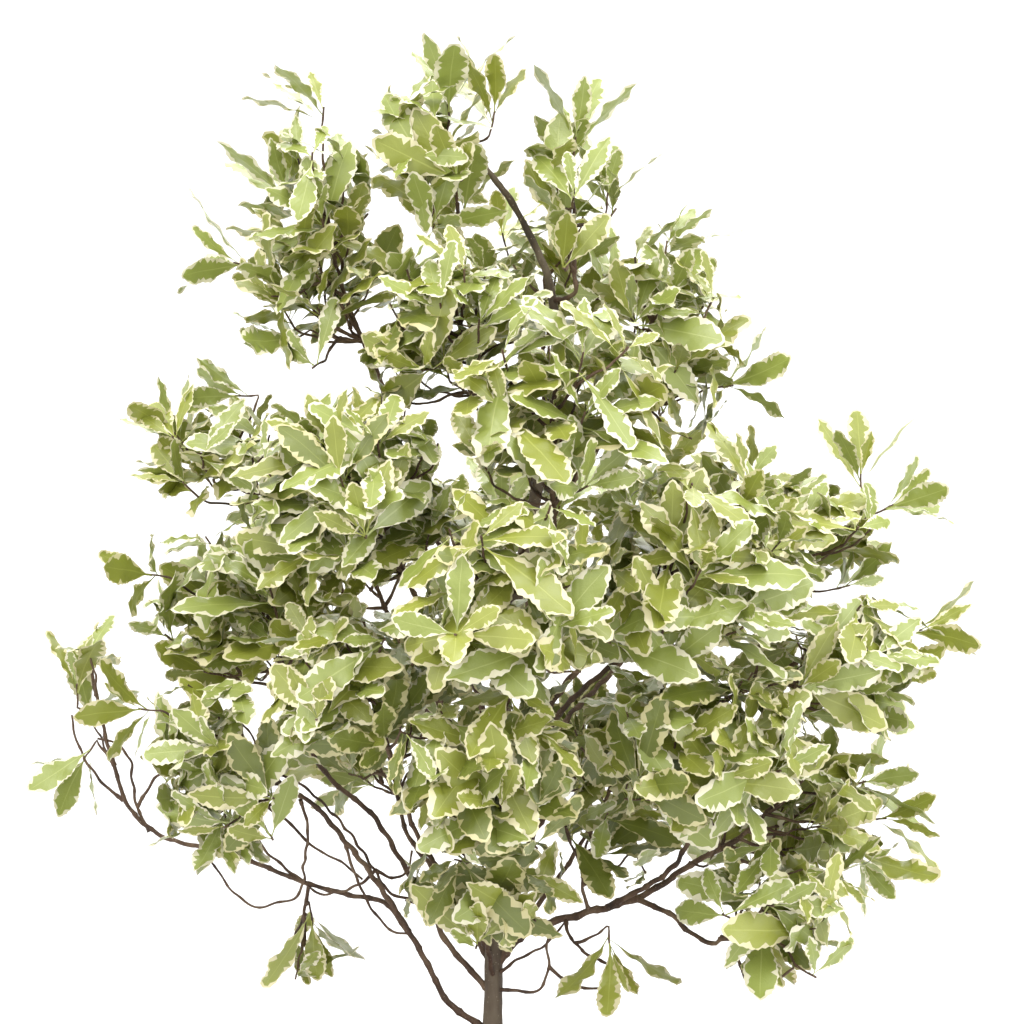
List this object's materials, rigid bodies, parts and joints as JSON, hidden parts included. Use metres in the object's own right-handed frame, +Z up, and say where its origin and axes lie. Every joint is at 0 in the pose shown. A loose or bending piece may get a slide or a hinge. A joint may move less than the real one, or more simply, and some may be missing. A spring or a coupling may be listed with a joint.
{
  "type": "potted variegated pittosporum",
  "caption": "Evergreen shrub in a plain clay pot: a slim trunk, bare boughs that fan out low down, and an open pointed crown of toothed leaves with cream edges.",
  "frame": {"origin": "centre of the pot's flat underside", "axes": "+Z up along the trunk, -Y towards the side that the picture shows, +X to the right in the picture"},
  "size_m": [0.5599, 0.4326, 0.8134],
  "materials": {
    "clay": "unglazed, matt",
    "soil": "loose, matt",
    "bark": "rough bark",
    "foliage": "satin leaf"
  },
  "bodies": {
    "root": {"back_heart_bough": "bark", "back_heart_leaves": "foliage", "back_left_bough": "bark", "back_left_leaves": "foliage", "back_low_left_bough": "bark", "back_low_left_leaves": "foliage", "back_low_right_bough": "bark", "back_low_right_leaves": "foliage", "back_right_bough": "bark", "back_right_leaves": "foliage", "back_top_bough": "bark", "back_top_leaves": "foliage", "crown_top_leaves": "foliage", "far_left_bough": "bark", "far_left_leaves": "foliage", "front_foot_bough": "bark", "front_foot_leaves": "foliage", "front_heart_bough": "bark", "front_heart_leaves": "foliage", "front_left_bough": "bark", "front_left_leaves": "foliage", "front_low_bough": "bark", "front_low_leaves": "foliage", "front_right_bough": "bark", "front_right_leaves": "foliage", "front_top_bough": "bark", "front_top_leaves": "foliage", "left_arm_bough": "bark", "left_arm_leaves": "foliage", "left_hanging_leaves": "foliage", "left_low_bough": "bark", "left_low_leaves": "foliage", "left_shoulder_bough": "bark", "left_shoulder_leaves": "foliage", "low_left_heart_bough": "bark", "low_left_heart_leaves": "foliage", "low_right_heart_leaves": "foliage", "pot": "clay", "right_arm_bough": "bark", "right_arm_leaves": "foliage", "right_foot_leaves": "foliage", "right_hanging_bough": "bark", "right_hanging_leaves": "foliage", "right_low_arm_bough": "bark", "right_low_arm_leaves": "foliage", "right_low_bough": "bark", "right_low_leaves": "foliage", "right_shoulder_bough": "bark", "right_shoulder_leaves": "foliage", "soil": "soil", "top_right_bough": "bark", "top_right_leaves": "foliage", "trunk": "bark", "upper_heart_bough": "bark", "upper_heart_leaves": "foliage", "upper_left_bough": "bark", "upper_left_leaves": "foliage", "upper_right_bough": "bark", "upper_right_leaves": "foliage"}
  },
  "joints": []
}
